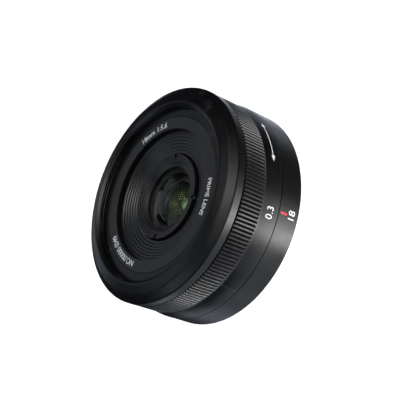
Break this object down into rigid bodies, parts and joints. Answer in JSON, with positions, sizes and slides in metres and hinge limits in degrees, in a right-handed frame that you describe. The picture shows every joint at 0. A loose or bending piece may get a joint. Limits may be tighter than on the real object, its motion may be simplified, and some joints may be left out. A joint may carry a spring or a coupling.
{
  "type": "prime camera lens",
  "caption": "Low black wide-angle camera lens: ribbed focus ring with cam, sliding optical unit, stepped light funnel, filter thread and bayonet mount.",
  "frame": {"origin": "centre of the bayonet's seating face, on the optical axis", "axes": "+Z along the optical axis towards the subject; the index line is at -Y"},
  "size_m": [0.0606, 0.0606, 0.0302],
  "materials": {
    "black_anodised": "satin black anodised, fine grain",
    "black_inner": "matt black anodised",
    "black_flocked": "flat black",
    "mount_metal": "satin chrome on brass",
    "screw_steel": "plain steel",
    "brass": "turned brass",
    "nylon": "self-lubricating plastic",
    "red_enamel": "filled enamel",
    "coated_glass": "polished, yellow-green coating"
  },
  "bodies": {
    "barrel": {"bayonet_mount": "mount_metal", "mount_screws": "screw_steel", "mount_shim": "brass", "mount_index_dot": "red_enamel", "rear_light_baffle": "black_flocked", "rear_baffle_screws": "screw_steel", "rear_barrel": "black_anodised", "index_mark": "red_enamel", "guide_tube": "black_inner", "wave_washer": "screw_steel", "rear_thrust_washer": "nylon", "front_thrust_washer": "nylon", "front_ring": "black_anodised", "front_ring_screws": "screw_steel", "front_baffle": "black_inner", "name_ring": "black_anodised"},
    "focus": {"focus_ring": "black_anodised", "focus_cam_ring": "brass", "focus_ring_screws": "screw_steel", "focus_stop_pin": "screw_steel"},
    "optics": {"lens_unit_barrel": "black_inner", "cam_follower_screws": "screw_steel", "cam_follower_bushes": "brass", "front_retaining_ring": "black_anodised", "front_element": "coated_glass", "front_spacer": "black_inner", "front_doublet_ring": "black_inner", "front_doublet_front": "coated_glass", "front_doublet_rear": "coated_glass", "aperture_stop": "black_inner", "rear_doublet_front": "coated_glass", "rear_doublet_rear": "coated_glass", "rear_spacer": "black_inner", "rear_element": "coated_glass", "rear_retaining_ring": "black_anodised"}
  },
  "joints": [
    {"name": "focus_turn", "type": "hinge", "parent": "barrel", "child": "focus", "pos_m": [0, 0, 0.0145], "axis": [0, 0, 1], "range_deg": [-85, 0]},
    {"name": "optics_slide", "type": "slide", "parent": "barrel", "child": "optics", "axis": [0, 0, 1], "range_m": [-0.0013, 0]}
  ],
  "couplings": [
    {"joint": "focus_turn", "follows": "optics_slide", "rad_per_m": 1141.1}
  ]
}
